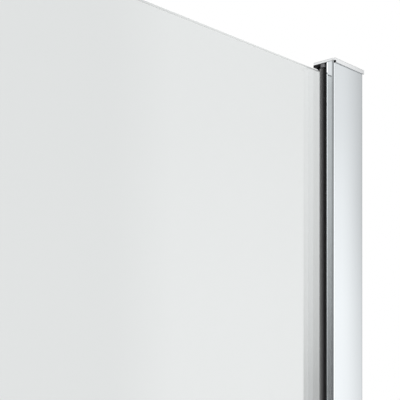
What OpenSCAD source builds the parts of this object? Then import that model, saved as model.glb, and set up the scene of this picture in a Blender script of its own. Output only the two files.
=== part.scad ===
// Fixed shower screen: one sheet of toughened glass held along one edge by a
// wall post. The post is a polished extrusion that slides over a hidden wall
// channel, so the screen's width can be set before three clamp screws are nipped up.
//
// Origin: on the wall, at the foot of the wall channel, on the post's centre line.
// +X points into the wall, -X along the glass to its free edge.
// -Y is the front of the screen, +Y its rear, and +Z points up. Millimetres.

/* [Screen] */
// Height from the tray to the top of the upper end cap
screen_h = 1950; // [1400:10:2200]
// Width from the wall to the free edge of the glass, with the slide closed
screen_w = 800; // [500:10:1000]

/* [Glass] */
// Thickness of the toughened glass
glass_t = 6; // [5:1:8]
// Radius of the free upper and lower corners of the glass
glass_corner_r = 8; // [4:1:20]
// Width of the small bevel along every glass edge
glass_arris = 0.6; // [0.3:0.1:1]
// How far the glass stands into the post
glass_bite = 15; // [13:1:20]
// Drop from the underside of the upper cap to the top edge of the glass
glass_drop = 7.5; // [6.5:0.5:10]
// Height of the lower edge of the glass above the tray
glass_foot = 12; // [10:1:16]

/* [Post] */
// Depth of the polished end face beside the gasket, from front to rear
end_face_d = 8.5; // [8:0.5:12]
// Wall thickness of the post
post_t = 1.5; // [1.2:0.1:1.8]
// Radius of the two front corners of the post
post_corner_r = 2.6; // [1.6:0.2:2.8]
// Radius of the two rear corners of the post
post_rear_r = 0.5; // [0.3:0.1:0.8]
// Width of the shallow bevel on the end face, beside the gasket
mouth_w = 1.1; // [0.6:0.1:1.6]
// Depth of that bevel
mouth_depth = 0.2; // [0.1:0.05:0.4]
// How far the rear leg ends behind the end face
leg_setback = 5.5; // [3:0.5:6]
// Height of the small hook that keeps the gasket in the slot
hook_h = 0.8; // [0.4:0.1:1.2]
// Gap between the post and the wall with the slide closed
wall_gap = 0.5; // [0.3:0.1:1]

/* [Gaskets and blocks] */
// Width of the front glazing gasket, from the end face to the glass
gasket_w = 7.6; // [6.5:0.1:9]
// Width of the gasket's outer lip, next to the glass
gasket_lip_w = 3.9; // [3:0.1:4.5]
// How far the gasket's lip stands out of the post's end
lip_reach = 1.2; // [0.4:0.1:1.4]
// How far the gasket's front half is set back from the post's end
gasket_recess = 3; // [2:0.5:4]
// Radius of the gasket lip's outer corner
gasket_lip_r = 1.5; // [0.8:0.1:2]
// Depth of the gasket in the slot
gasket_depth = 12; // [10:0.5:13]
// Diameter of the gasket's hollow core
gasket_core_d = 3.4; // [2:0.2:4.4]
// Thickness of the thin seat behind the glass
seat_t = 0.4; // [0.3:0.1:0.8]
// Distance from the post's end to the thin seat
seat_inset = 6; // [6:0.5:7]
// Thickness of the spacers at the hidden edge of the glass
spacer_t = 3.5; // [2:0.5:5]
// Length of each edge spacer
spacer_len = 60; // [30:5:100]
// Number of edge spacers
spacer_n = 3; // [2:1:5]
// Height of the grey gasket stop below the upper cap
stop_h = 4; // [3:0.5:4.5]
// Width of the grey gasket stop, measured from the glass
stop_w = 4.5; // [3:0.5:5]
// How far the gasket stop is set back from the post's end
stop_inset = 0.4; // [0.2:0.1:0.8]
// Gap between the gasket stop and the top of the gasket
stop_gap = 1.5; // [0.5:0.5:1.5]
// Height of the upper seal block where it shows above the glass
block_h = 2.4; // [1.5:0.1:3]
// Thickness of the lip by which the upper seal block covers the slot's end
block_lip_t = 0.4; // [0.3:0.1:0.8]
// Clearance of the setting block from both ends of the slot
setting_inset = 1.5; // [1:0.5:3]

/* [Wall channel] */
// Depth of the wall channel, from the wall to the tips of its legs
channel_d = 36; // [34:1:45]
// Thickness of the wall channel's legs
channel_t = 1.5; // [1.2:0.1:2]
// Thickness of the wall channel's web, which lies on the wall
channel_web_t = 2; // [1.6:0.2:3]
// Gap between the tips of the channel's legs and the post's web
tip_gap = 2.5; // [1:0.5:5]
// Clearance between each channel leg and the post
slide_clear = 0.2; // [0.1:0.05:0.3]
// Travel of the width adjustment
travel = 20; // [10:1:21]
// Height of the plug that closes the foot of the wall channel
foot_plug_h = 12; // [8:1:20]
// Setback of that plug from the tips of the channel's legs
foot_plug_inset = 3; // [1:0.5:5]

/* [Wall holes] */
// Diameter of the wall screw holes
wall_hole_d = 6; // [4:0.5:8]
// Number of wall screw holes
wall_hole_n = 4; // [2:1:6]
// Height of the lowest wall hole, and drop of the highest from the top
wall_hole_end = 120; // [60:5:150]

/* [Clamps] */
// Nominal diameter of the clamp screws
clamp_d = 5; // [4:0.5:5]
// Diameter of the clamp screw's head
clamp_head_d = 8.4; // [7.5:0.1:9]
// Height of the clamp screw's head
clamp_head_h = 2.6; // [2:0.1:3]
// Width across the flats of the clamp screw's hexagon socket
clamp_socket = 3; // [2:0.5:3.5]
// Diameter of the clamp washer
washer_d = 9; // [8:0.5:10]
// Thickness of the clamp washer
washer_t = 1; // [0.6:0.1:1.4]
// Thickness of the nut plate inside the channel
nut_t = 3.5; // [2.5:0.5:4]
// Length of each nut plate along the slide
nut_w = 11; // [9:0.5:11.5]
// Height of each nut plate
nut_h = 14; // [10:1:20]
// Number of clamps
clamp_n = 3; // [2:1:4]
// Height of the lowest clamp, and drop of the highest from the top
clamp_end = 175; // [160:5:300]
// Distance from the clamp screw to the tips of the channel's legs
clamp_edge = 6; // [6:0.5:7]
// Clearance round the clamp screw in the slot, the channel and the washer
clamp_clear = 0.2; // [0.1:0.05:0.3]
// Clearance that stands for the thread between clamp screw and nut plate
thread_clear = 0.05; // [0.02:0.01:0.1]
// How far the clamp screw's tip stands out of its nut plate
tip_reach = 0.5; // [0:0.5:2]

/* [Slot covers] */
// Wall thickness of the covers over the clamp slots
cover_t = 1.2; // [1:0.1:1.6]
// Height of each cover
cover_h = 28; // [26:1:36]
// Diameter of a cover's pegs
peg_d = 3; // [2.5:0.1:3.5]
// Distance of the pegs from the cover's centre line
peg_offset = 10; // [9:0.5:10.5]
// Clearance round the washers and over the screw heads inside a cover
cover_clear = 0.3; // [0.1:0.1:0.4]
// Clearance round the pegs and at their tips
peg_clear = 0.05; // [0.02:0.01:0.1]

/* [End caps] */
// Thickness of the end caps' plates
cap_t = 2.6; // [2:0.1:4]
// Thickness of the lip along the front of each cap
cap_lip = 1.2; // [0.6:0.1:2]
// Height of that lip, which laps over the front face of the post
cap_lip_h = 4.4; // [3:0.1:6]
// Setback of the lip's free end from the cap's side
cap_lip_inset = 0.6; // [0.5:0.1:2]
// Bevel along the outer edges of the caps
cap_bevel = 0.5; // [0.2:0.1:0.8]
// Length of the cap's prongs
prong_len = 10; // [6:1:11]
// Thickness of the upper cap's tongue, next to the post's web
tongue_t = 2; // [1.5:0.5:3]
// Side clearance of the prongs and of the lower cap round the channel
prong_clear = 0.3; // [0.2:0.1:0.5]
// Diameter of the cap screw's shank
cap_screw_d = 3.4; // [3:0.1:3.6]
// Diameter of the cap screw's head
cap_screw_head_d = 6.4; // [6:0.1:6.6]
// Length of the cap screw
cap_screw_len = 16; // [12:1:25]
// Clearance round the cap screw's shank in the cap and in the screw port
cap_screw_clear = 0.1; // [0.05:0.05:0.2]
// Clearance of the cap screw's head in its countersink
cap_head_clear = 0.1; // [0.05:0.05:0.2]
// Width of the cross recess in the cap screw's head
recess_w = 1.2; // [0.8:0.1:1.5]
// Depth of the cross recess in the cap screw's head
recess_h = 1; // [0.6:0.1:1.4]
// Distance from the post's web to the axis of the cap screws
port_inset = 7; // [6:0.5:9]

/* [Lower seal] */
// Wall thickness of the clear seal under the glass
seal_t = 1.2; // [1:0.1:1.5]
// Height of the seal's grip on the glass
seal_grip = 14; // [10:1:20]
// Width of the seal's hollow bulb
bulb_w = 6; // [5:0.5:8]
// Height of the seal's hollow bulb
bulb_h = 6; // [5:0.5:7]
// Gap between the post and the seal
seal_end_gap = 0.4; // [0.3:0.1:1]
// Thickness of the plug's flange at the free end of the seal
plug_t = 1.2; // [0.8:0.1:2]
// Length of the plug's peg inside the bulb
plug_peg = 12; // [8:1:20]
// Clearance between the plug's peg and the bulb
plug_clear = 0.1; // [0.05:0.05:0.2]

/* [Hidden] */
$fn = 48;
// How far a cutting shape runs past the surface that it cuts
cut = 1;
// How far the screw port's wall reaches into the walls beside it
port_overlap = 0.2;

// The post's cross-section, from front to rear
post_d = end_face_d + gasket_w + glass_t + seat_t + post_t;
front_y = -post_d / 2;
rear_y = post_d / 2;
slot_front_y = front_y + end_face_d;
glass_front_y = slot_front_y + gasket_w;
glass_rear_y = glass_front_y + glass_t;
leg_inner_y = rear_y - post_t;
return_y = slot_front_y - hook_h;
chamber_front_y = front_y + post_t;
chamber_rear_y = return_y - post_t;

// The post's cross-section, from the wall to its outer end
post_wall_x = -wall_gap;
channel_tip_x = -channel_d;
web_wall_x = channel_tip_x - tip_gap;
web_glass_x = web_wall_x - post_t;
glass_edge_x = web_glass_x - spacer_t;
post_end_x = glass_edge_x - glass_bite;
leg_end_x = post_end_x + leg_setback;
free_edge_x = -screen_w;

// The wall channel
channel_half = post_d / 2 - post_t - slide_clear;
channel_inner = channel_half - channel_t;

// Heights
cap_under_z = screen_h - cap_t;
post_foot_z = cap_t;
glass_top_z = cap_under_z - glass_drop;
gasket_top_z = cap_under_z - stop_h - stop_gap;
stop_z = cap_under_z - stop_h;
channel_top_z = cap_under_z - prong_clear;

// The gasket, its stop and the block behind them
lip_x = post_end_x - lip_reach;
recess_x = post_end_x + gasket_recess;
gasket_inner_x = post_end_x + gasket_depth;
stop_x = post_end_x + stop_inset;
stop_y = glass_front_y - stop_w;

// The screw port that takes the cap screws
port_y = (chamber_front_y + chamber_rear_y) / 2;
port_x = web_glass_x - port_inset;
port_r = (chamber_rear_y - chamber_front_y) / 2 + port_overlap;
port_hole_r = cap_screw_d / 2 + cap_screw_clear;

// The clamps and their slots
clamp_x = channel_tip_x + clamp_edge;
clamp_r = clamp_d / 2;
clamp_hole_r = clamp_r + clamp_clear;
slot_x0 = clamp_x;
slot_x1 = clamp_x + travel;
washer_y = rear_y;
head_y = washer_y + washer_t;
head_top_y = head_y + clamp_head_h;
nut_y = channel_inner - nut_t;
screw_tip_y = nut_y - tip_reach;
clamp_zs = [for (i = [0 : clamp_n - 1])
    clamp_end + i * (screen_h - 2 * clamp_end) / (clamp_n - 1)];
wall_hole_zs = [for (i = [0 : wall_hole_n - 1])
    wall_hole_end + i * (screen_h - 2 * wall_hole_end) / (wall_hole_n - 1)];

// The covers over the slots
pocket_x0 = slot_x0 - washer_d / 2 - cover_clear;
pocket_x1 = slot_x1 + washer_d / 2 + cover_clear;
pocket_half_z = washer_d / 2 + cover_clear;
cover_x0 = pocket_x0 - cover_t;
cover_x1 = pocket_x1 + cover_t;
cover_y1 = head_top_y + cover_clear + cover_t;
peg_x = (cover_x0 + cover_x1) / 2;
peg_hole_r = peg_d / 2 + peg_clear;

// The seal under the glass
seal_x0 = free_edge_x + glass_corner_r;
seal_x1 = lip_x - seal_end_gap;
glass_mid_y = (glass_front_y + glass_rear_y) / 2;
bulb_top_z = glass_foot - seal_t;
bulb_foot_z = bulb_top_z - bulb_h;
bulb_half = bulb_w / 2;

// Heights of the edge spacers, spread evenly over the glass
spacer_zs = [for (i = [1 : spacer_n])
    glass_foot + i * (glass_top_z - glass_foot) / (spacer_n + 1)];

aluminium = [0.86, 0.88, 0.90];
plain_aluminium = [0.70, 0.72, 0.74];
cap_grey = [0.90, 0.91, 0.92];
glass_tint = [0.84, 0.90, 0.88, 0.55];
black_rubber = [0.08, 0.08, 0.09];
mid_grey = [0.42, 0.42, 0.43];
steel = [0.62, 0.63, 0.65];
clear_plastic = [0.88, 0.92, 0.93, 0.6];
nylon = [0.93, 0.93, 0.90];

// Box given by its lowest and highest corners
module span_box(low, high) {
    translate(low) cube(high - low);
}

// Rectangle given by its lowest and highest corners
module span_rect(low, high) {
    translate(low) square(high - low);
}

// Rectangle with one radius on its front corners and another on its rear ones
module post_outline(low, high, front_r, rear_r) {
    span_rect([low[0], low[1] + front_r], [high[0], high[1] - rear_r]);
    span_rect([low[0] + front_r, low[1]], [high[0] - front_r, high[1] - rear_r]);
    span_rect([low[0] + rear_r, low[1] + front_r], [high[0] - rear_r, high[1]]);
    for (x = [low[0] + front_r, high[0] - front_r])
        translate([x, low[1] + front_r]) circle(front_r);
    for (x = [low[0] + rear_r, high[0] - rear_r])
        translate([x, high[1] - rear_r]) circle(rear_r);
}

// Cylinder along Y between two values of Y
module y_rod(x, z, y0, y1, r) {
    translate([x, y0, z]) rotate([-90, 0, 0]) cylinder(h = y1 - y0, r = r);
}

// Slot with round ends, along X, cut through a wall from y0 to y1
module y_slot(x0, x1, z, y0, y1, r) {
    y_rod(x0, z, y0, y1, r);
    y_rod(x1, z, y0, y1, r);
    span_box([x0, y0, z - r], [x1, y1, z + r]);
}

// Cross-section of the post: front chamber, glass slot and the wall cavity
module post_section() {
    difference() {
        post_outline([post_end_x, front_y], [post_wall_x, rear_y], post_corner_r, post_rear_r);
        // Hollow front chamber behind the polished face
        span_rect([post_end_x + post_t, chamber_front_y], [web_glass_x, chamber_rear_y]);
        // Shallow bevel on the end face, beside the slot's mouth
        polygon([[post_end_x, slot_front_y - mouth_w], [post_end_x - cut, slot_front_y - mouth_w],
                 [post_end_x - cut, slot_front_y], [post_end_x + mouth_depth, slot_front_y]]);
        // Glass slot: its mouth beside the hook, the rear leg's setback, then its full width
        span_rect([post_end_x - cut, slot_front_y], [post_end_x + post_t, rear_y + cut]);
        span_rect([post_end_x + post_t - cut, glass_rear_y], [leg_end_x, rear_y + cut]);
        span_rect([post_end_x + post_t, return_y], [web_glass_x, leg_inner_y]);
        // Cavity that slides over the wall channel
        span_rect([web_wall_x, chamber_front_y], [post_wall_x + cut, leg_inner_y]);
    }
    // Screw port for the cap screws
    difference() {
        translate([port_x, port_y]) circle(port_r);
        translate([port_x, port_y]) circle(port_hole_r);
    }
}

// Visible post: a polished extrusion with slots in its rear leg for the clamps
module post_profile() {
    color(aluminium) difference() {
        translate([0, 0, post_foot_z]) linear_extrude(cap_under_z - post_foot_z) post_section();
        for (z = clamp_zs) {
            y_slot(slot_x0, slot_x1, z, leg_inner_y - cut, rear_y + cut, clamp_hole_r);
            for (side = [-1, 1])
                y_rod(peg_x, z + side * peg_offset, leg_inner_y - cut, rear_y + cut, peg_hole_r);
        }
    }
}

// Channel that is screwed to the wall and carries the post
module wall_channel() {
    color(plain_aluminium) difference() {
        span_box([channel_tip_x, -channel_half, 0], [0, channel_half, channel_top_z]);
        span_box([channel_tip_x - cut, -channel_inner, -cut],
                 [-channel_web_t, channel_inner, channel_top_z + cut]);
        for (z = wall_hole_zs)
            translate([-channel_web_t - cut, 0, z]) rotate([0, 90, 0])
                cylinder(h = channel_web_t + 2 * cut, d = wall_hole_d);
        for (z = clamp_zs)
            y_rod(clamp_x, z, channel_inner - cut, channel_half + cut, clamp_hole_r);
    }
}

// Rubber plug that closes the foot of the wall channel against water
module channel_foot_plug() {
    color(black_rubber) span_box([channel_tip_x + foot_plug_inset, -channel_inner, 0],
                                 [-channel_web_t, channel_inner, foot_plug_h]);
}

// Tapped plates inside the channel, one behind each clamp screw
module nut_plates() {
    color(steel) for (z = clamp_zs) difference() {
        span_box([clamp_x - nut_w / 2, nut_y, z - nut_h / 2],
                 [clamp_x + nut_w / 2, channel_inner, z + nut_h / 2]);
        y_rod(clamp_x, z, nut_y - cut, channel_inner + cut, clamp_r + thread_clear);
    }
}

// Button-head screws that clamp the post to the channel
module clamp_screws() {
    socket_r = clamp_socket / 2 / cos(30);
    color(steel) for (z = clamp_zs) difference() {
        union() {
            y_rod(clamp_x, z, screw_tip_y, head_y + clamp_head_h / 2, clamp_r);
            y_rod(clamp_x, z, head_y, head_top_y, clamp_head_d / 2);
        }
        translate([clamp_x, head_top_y - clamp_head_h / 2, z]) rotate([-90, 0, 0])
            cylinder(h = clamp_head_h, r = socket_r, $fn = 6);
    }
}

// Washers under the clamp screws' heads
module clamp_washers() {
    color(steel) for (z = clamp_zs) difference() {
        y_rod(clamp_x, z, washer_y, washer_y + washer_t, washer_d / 2);
        y_rod(clamp_x, z, washer_y - cut, washer_y + washer_t + cut, clamp_hole_r);
    }
}

// Outline of a plate with bevelled edges, seen along the plate
module bevelled_strip(length, thickness, bevel) {
    polygon([
        [0, bevel], [bevel, 0], [length - bevel, 0], [length, bevel],
        [length, thickness - bevel], [length - bevel, thickness],
        [bevel, thickness], [0, thickness - bevel]
    ]);
}

// Upright outline of the glass, with two rounded free corners
module glass_outline(length, height, r) {
    span_rect([r, 0], [length, height]);
    span_rect([0, r], [r, height - r]);
    for (z = [r, height - r]) translate([r, z]) circle(r);
}

// Sheet of toughened glass with bevelled edges
module glass_panel() {
    glass_len = glass_edge_x - free_edge_x;
    glass_h = glass_top_z - glass_foot;
    color(glass_tint) translate([free_edge_x, glass_front_y, glass_foot]) intersection() {
        translate([0, glass_t, 0]) rotate([90, 0, 0])
            linear_extrude(glass_t) glass_outline(glass_len, glass_h, glass_corner_r);
        linear_extrude(glass_h) bevelled_strip(glass_len, glass_t, glass_arris);
        rotate([90, 0, 90]) linear_extrude(glass_len)
            translate([glass_t, 0]) rotate([0, 0, 90]) bevelled_strip(glass_h, glass_t, glass_arris);
    }
}

// Black wedge gasket in front of the glass, with a rounded outer lip
module glazing_gasket() {
    lip_y = glass_front_y - gasket_lip_w;
    color(black_rubber) translate([0, 0, post_foot_z]) linear_extrude(gasket_top_z - post_foot_z)
        difference() {
            union() {
                span_rect([recess_x, return_y], [gasket_inner_x, glass_front_y]);
                span_rect([lip_x + gasket_lip_r, lip_y], [recess_x + cut, glass_front_y]);
                span_rect([lip_x, lip_y + gasket_lip_r], [recess_x, glass_front_y]);
                translate([lip_x + gasket_lip_r, lip_y + gasket_lip_r]) circle(gasket_lip_r);
            }
            translate([(recess_x + gasket_inner_x) / 2, (return_y + glass_front_y) / 2])
                circle(gasket_core_d / 2);
        }
}

// Thin seat between the glass and the post's rear leg
module rear_seat() {
    color(black_rubber) span_box([post_end_x + seat_inset, glass_rear_y, glass_foot],
                                 [glass_edge_x, leg_inner_y, glass_top_z]);
}

// Small grey block that stops the gasket below the upper cap
module gasket_stop() {
    color(mid_grey) span_box([stop_x, stop_y, stop_z], [gasket_inner_x, glass_front_y, cap_under_z]);
}

// Black block that closes the slot above the glass
module top_seal_block() {
    color(black_rubber) {
        // Plug over the hidden part of the glass, and a thinner slab that shows beside it
        span_box([leg_end_x, glass_front_y, glass_top_z], [web_glass_x, leg_inner_y, cap_under_z]);
        span_box([post_end_x - block_lip_t, glass_front_y, cap_under_z - block_h],
                 [leg_end_x, rear_y, cap_under_z]);
        // Set-back tongue between the end face and the gasket stop
        span_box([recess_x, slot_front_y, gasket_top_z], [web_glass_x, stop_y, cap_under_z]);
        span_box([gasket_inner_x, slot_front_y, gasket_top_z],
                 [web_glass_x, glass_front_y, cap_under_z]);
    }
}

// Block under the glass inside the post, which carries its weight
module setting_block() {
    color(nylon) span_box([post_end_x + setting_inset, glass_front_y, post_foot_z],
                          [web_glass_x - setting_inset, glass_rear_y, glass_foot]);
}

// Spacers between the hidden edge of the glass and the post's web
module edge_spacers() {
    color(nylon) for (z = spacer_zs)
        span_box([glass_edge_x, glass_front_y, z - spacer_len / 2],
                 [web_glass_x, glass_rear_y, z + spacer_len / 2]);
}

// Cap plate from z = 0 up to its thickness, with a lip that laps over the front of
// the post, and bevels along its outer edges
module cap_plate() {
    low_x = post_end_x - block_lip_t;
    low_y = front_y - cap_lip;
    low_z = cap_t - max(cap_t, cap_lip_h);
    shoulder_z = cap_t - cap_bevel;
    intersection() {
        union() {
            linear_extrude(cap_t)
                post_outline([low_x, front_y], [post_wall_x, rear_y], post_corner_r, post_rear_r);
            span_box([low_x + cap_lip_inset, low_y, low_z], [post_wall_x, front_y, cap_t]);
            span_box([low_x + post_corner_r, front_y, 0],
                     [post_wall_x, front_y + post_corner_r, cap_t]);
        }
        translate([0, rear_y, 0]) rotate([90, 0, 0]) linear_extrude(rear_y - low_y) polygon([
            [low_x, low_z], [post_wall_x, low_z], [post_wall_x, cap_t],
            [low_x + cap_bevel, cap_t], [low_x, shoulder_z]]);
        translate([low_x, 0, 0]) rotate([90, 0, 90]) linear_extrude(post_wall_x - low_x) polygon([
            [low_y, low_z], [rear_y, low_z], [rear_y, shoulder_z], [rear_y - cap_bevel, cap_t],
            [low_y + cap_bevel, cap_t], [low_y, shoulder_z]]);
    }
}

// Prongs that grip inside the post, hanging down from z = 0
module cap_prongs() {
    chamber_x0 = post_end_x + post_t + prong_clear;
    chamber_x1 = web_glass_x - prong_clear;
    prong_y0 = chamber_front_y + prong_clear;
    prong_y1 = chamber_rear_y - prong_clear;
    span_box([chamber_x0, prong_y0, -prong_len],
             [port_x - port_r - prong_clear, prong_y1, 0]);
    span_box([port_x + port_r + prong_clear, prong_y0, -prong_len],
             [chamber_x1, prong_y1, 0]);
}

// Countersunk hole for a cap screw, through a plate from z = 0 up to its thickness
module cap_screw_hole() {
    head_r = cap_screw_head_d / 2;
    translate([port_x, port_y, -cut])
        cylinder(h = cap_t + 2 * cut, r = cap_screw_d / 2 + cap_screw_clear);
    translate([port_x, port_y, cap_t - head_r])
        cylinder(h = head_r, r1 = 0, r2 = head_r);
}

// Countersunk self-tapping screw with its head at z = 0 and its tip below
module cap_screw() {
    head_r = cap_screw_head_d / 2 - cap_head_clear;
    shank_r = cap_screw_d / 2;
    difference() {
        rotate_extrude() polygon([
            [0, 0], [head_r, 0], [shank_r, shank_r - head_r],
            [shank_r, 2 * shank_r - cap_screw_len], [0, -cap_screw_len]]);
        for (turn = [0, 90]) rotate([0, 0, turn])
            translate([-shank_r, -recess_w / 2, -recess_h]) cube([2 * shank_r, recess_w, recess_h + cut]);
    }
}

// Upper moulded cap, which covers the whole post
module top_cap() {
    color(cap_grey) translate([0, 0, cap_under_z]) difference() {
        union() {
            cap_plate();
            cap_prongs();
            // Tongue that drops between the channel's legs, next to the post's web
            span_box([web_wall_x, 2 * prong_clear - channel_inner, -prong_len],
                     [web_wall_x + tongue_t, channel_inner - 2 * prong_clear, 0]);
        }
        cap_screw_hole();
    }
}

// Lower moulded cap, open where the wall channel stands on the tray
module bottom_cap() {
    color(cap_grey) translate([0, 0, cap_t]) mirror([0, 0, 1]) difference() {
        union() {
            cap_plate();
            cap_prongs();
        }
        cap_screw_hole();
        span_box([web_wall_x, -channel_half - slide_clear, -cut],
                 [cut, channel_half + slide_clear, cap_t + cut]);
    }
}

// Screw that holds the upper cap
module top_cap_screw() {
    color(steel) translate([port_x, port_y, screen_h]) cap_screw();
}

// Screw that holds the lower cap
module bottom_cap_screw() {
    color(steel) translate([port_x, port_y, 0]) mirror([0, 0, 1]) cap_screw();
}

// Covers over the clamp slots, held by two pegs each
module slot_covers() {
    color(cap_grey) for (z = clamp_zs) {
        difference() {
            span_box([cover_x0, rear_y, z - cover_h / 2], [cover_x1, cover_y1, z + cover_h / 2]);
            span_box([pocket_x0, rear_y - cut, z - pocket_half_z],
                     [pocket_x1, cover_y1 - cover_t, z + pocket_half_z]);
        }
        for (side = [-1, 1])
            y_rod(peg_x, z + side * peg_offset, leg_inner_y + peg_clear, rear_y + cover_t, peg_d / 2);
    }
}

// Cross-section of the lower seal, in Y and Z
module seal_section() {
    difference() {
        span_rect([glass_front_y - seal_t, glass_foot - seal_t],
                  [glass_rear_y + seal_t, glass_foot + seal_grip]);
        span_rect([glass_front_y, glass_foot], [glass_rear_y, glass_foot + seal_grip + cut]);
    }
    // Hollow bulb under the grip
    difference() {
        span_rect([glass_mid_y - bulb_half, bulb_foot_z],
                  [glass_mid_y + bulb_half, glass_foot - seal_t]);
        span_rect([glass_mid_y - bulb_half + seal_t, bulb_foot_z + seal_t],
                  [glass_mid_y + bulb_half - seal_t, bulb_top_z]);
    }
    // Fin that wipes the tray
    span_rect([glass_mid_y - seal_t / 2, 0], [glass_mid_y + seal_t / 2, bulb_foot_z]);
}

// Clear seal pushed onto the lower edge of the glass
module bottom_seal() {
    color(clear_plastic) translate([seal_x0, 0, 0]) rotate([90, 0, 90])
        linear_extrude(seal_x1 - seal_x0) seal_section();
}

// Plug that closes the free end of the seal's bulb
module seal_end_plug() {
    peg_half = bulb_half - seal_t - plug_clear;
    color(clear_plastic) {
        span_box([seal_x0 - plug_t, glass_mid_y - bulb_half, bulb_foot_z],
                 [seal_x0, glass_mid_y + bulb_half, bulb_top_z]);
        span_box([seal_x0, glass_mid_y - peg_half, bulb_foot_z + seal_t],
                 [seal_x0 + plug_peg, glass_mid_y + peg_half, bulb_top_z - plug_clear]);
    }
}

wall_channel();
channel_foot_plug();
nut_plates();
clamp_screws();
clamp_washers();
post_profile();
glass_panel();
glazing_gasket();
rear_seat();
gasket_stop();
top_seal_block();
setting_block();
edge_spacers();
top_cap();
bottom_cap();
top_cap_screw();
bottom_cap_screw();
slot_covers();
bottom_seal();
seal_end_plug();
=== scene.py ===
"""Dresses the fixed shower screen: finishes, rounded edges, screw threads, studio and camera.

All lengths are in metres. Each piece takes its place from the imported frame, so it lies
where its solid lies. +X runs into the wall, -Y is the front and +Z points up.
"""
import logging
import math
from dataclasses import dataclass
from enum import Enum, IntEnum
from typing import Sequence

import bmesh
import bpy
from mathutils import Matrix, Vector


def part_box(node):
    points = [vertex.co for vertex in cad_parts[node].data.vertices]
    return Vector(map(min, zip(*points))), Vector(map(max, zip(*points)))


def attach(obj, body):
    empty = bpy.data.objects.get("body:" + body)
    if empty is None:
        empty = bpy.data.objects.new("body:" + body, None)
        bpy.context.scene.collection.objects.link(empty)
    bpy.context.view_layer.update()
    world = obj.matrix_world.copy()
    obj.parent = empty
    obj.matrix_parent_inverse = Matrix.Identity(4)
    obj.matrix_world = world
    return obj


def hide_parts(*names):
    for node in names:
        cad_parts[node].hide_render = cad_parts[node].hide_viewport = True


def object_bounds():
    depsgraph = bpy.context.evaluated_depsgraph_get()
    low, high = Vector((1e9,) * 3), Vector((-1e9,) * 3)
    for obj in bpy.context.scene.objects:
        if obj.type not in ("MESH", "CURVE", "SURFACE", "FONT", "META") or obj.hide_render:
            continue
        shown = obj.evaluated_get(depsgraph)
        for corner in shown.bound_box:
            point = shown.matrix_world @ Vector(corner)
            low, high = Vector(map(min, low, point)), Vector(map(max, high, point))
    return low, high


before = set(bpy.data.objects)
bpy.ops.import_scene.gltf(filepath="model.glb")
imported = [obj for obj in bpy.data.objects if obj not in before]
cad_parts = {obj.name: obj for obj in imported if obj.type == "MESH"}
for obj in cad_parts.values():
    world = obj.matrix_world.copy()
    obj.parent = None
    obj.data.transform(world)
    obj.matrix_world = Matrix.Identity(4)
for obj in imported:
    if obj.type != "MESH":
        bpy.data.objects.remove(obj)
CAD_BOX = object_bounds()

MM = 0.001
# Corners nearer than this to each other are one corner
WELD = 0.001 * MM
# Corners nearer than this to a plane lie on it
TOUCH = 0.005 * MM
# The gap between two pieces that would otherwise share a face
HAIRLINE = 0.05 * MM
# Faces that meet at less than FLAT are one face, and at more than SHARP they make an edge
FLAT = math.radians(0.5)
SHARP = math.radians(30)
# How many faces a rounded corner of an extruded section has
CORNER_FACES = 6
LOG = logging.getLogger("shower_screen")

Colour = tuple[float, float, float]
Sizes = tuple[float, float, float]
Levels = Sequence[tuple[float, float]]


# Shader nodes

# How many finer layers a noise has: a fine grain, soft clouds, or one slow wave
GRAIN = 3.0
CLOUDS = 2.0
WAVE = 1.0
# The sockets of a Mix node for colours, some of which share a name
MIX_MASK = 0
MIX_LOW = 6
MIX_HIGH = 7
MIX_COLOUR = 2


class Signal:
    """A number that changes over a surface, which takes part in sums."""

    def __init__(self, graph: "Graph", socket: bpy.types.NodeSocket) -> None:
        """Keeps the socket and the graph that it belongs to."""
        self.graph = graph
        self.socket = socket

    def _sum(self, operation: str, *terms: "Signal | float", clamp: bool = False) -> "Signal":
        """Adds one Math node.

        Args:
            operation: The Math node's operation.
            terms: Its inputs in order.
            clamp: Whether the result is kept from 0 to 1.

        Returns:
            The node's result.
        """
        settings = {"operation": operation, "use_clamp": clamp}
        node = self.graph.node("ShaderNodeMath", settings, dict(enumerate(terms)))
        return Signal(self.graph, node.outputs[0])

    def __add__(self, other: "Signal | float") -> "Signal":
        """self + other."""
        return self._sum("ADD", self, other)

    def __radd__(self, other: float) -> "Signal":
        """other + self."""
        return self._sum("ADD", other, self)

    def __sub__(self, other: "Signal | float") -> "Signal":
        """self - other."""
        return self._sum("SUBTRACT", self, other)

    def __rsub__(self, other: float) -> "Signal":
        """other - self."""
        return self._sum("SUBTRACT", other, self)

    def __mul__(self, other: "Signal | float") -> "Signal":
        """self * other."""
        return self._sum("MULTIPLY", self, other)

    def __rmul__(self, other: float) -> "Signal":
        """other * self."""
        return self._sum("MULTIPLY", other, self)

    def clamped(self) -> "Signal":
        """The signal kept from 0 to 1."""
        return self._sum("ADD", self, 0.0, clamp=True)

    def angle(self, ahead: "Signal") -> "Signal":
        """The angle in radians whose sine goes with self and whose cosine goes with ahead."""
        return self._sum("ARCTAN2", self, ahead)

    def rises(self, start: float, end: float) -> "Signal":
        """A smooth step.

        Args:
            start: Where the step leaves 0.
            end: Where it reaches 1. It may be the lower of the two.

        Returns:
            The stepped signal.
        """
        inputs = {"Value": self, "From Min": start, "From Max": end, "To Min": 0.0, "To Max": 1.0}
        node = self.graph.node("ShaderNodeMapRange", {"interpolation_type": "SMOOTHSTEP"}, inputs)
        return Signal(self.graph, node.outputs["Result"])

    def ramp(self, stops: Levels) -> "Signal":
        """A curve through given levels.

        Args:
            stops: Pairs of a place from 0 to 1 and the level there.

        Returns:
            The level at the signal's value.
        """
        top = max(level for _, level in stops)
        greys = [(place, (level / top,) * 3 + (1.0,)) for place, level in stops]
        node = self.graph.node("ShaderNodeValToRGB", {"stops": greys}, {"Fac": self})
        return Signal(self.graph, node.outputs["Color"]) * top


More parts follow.
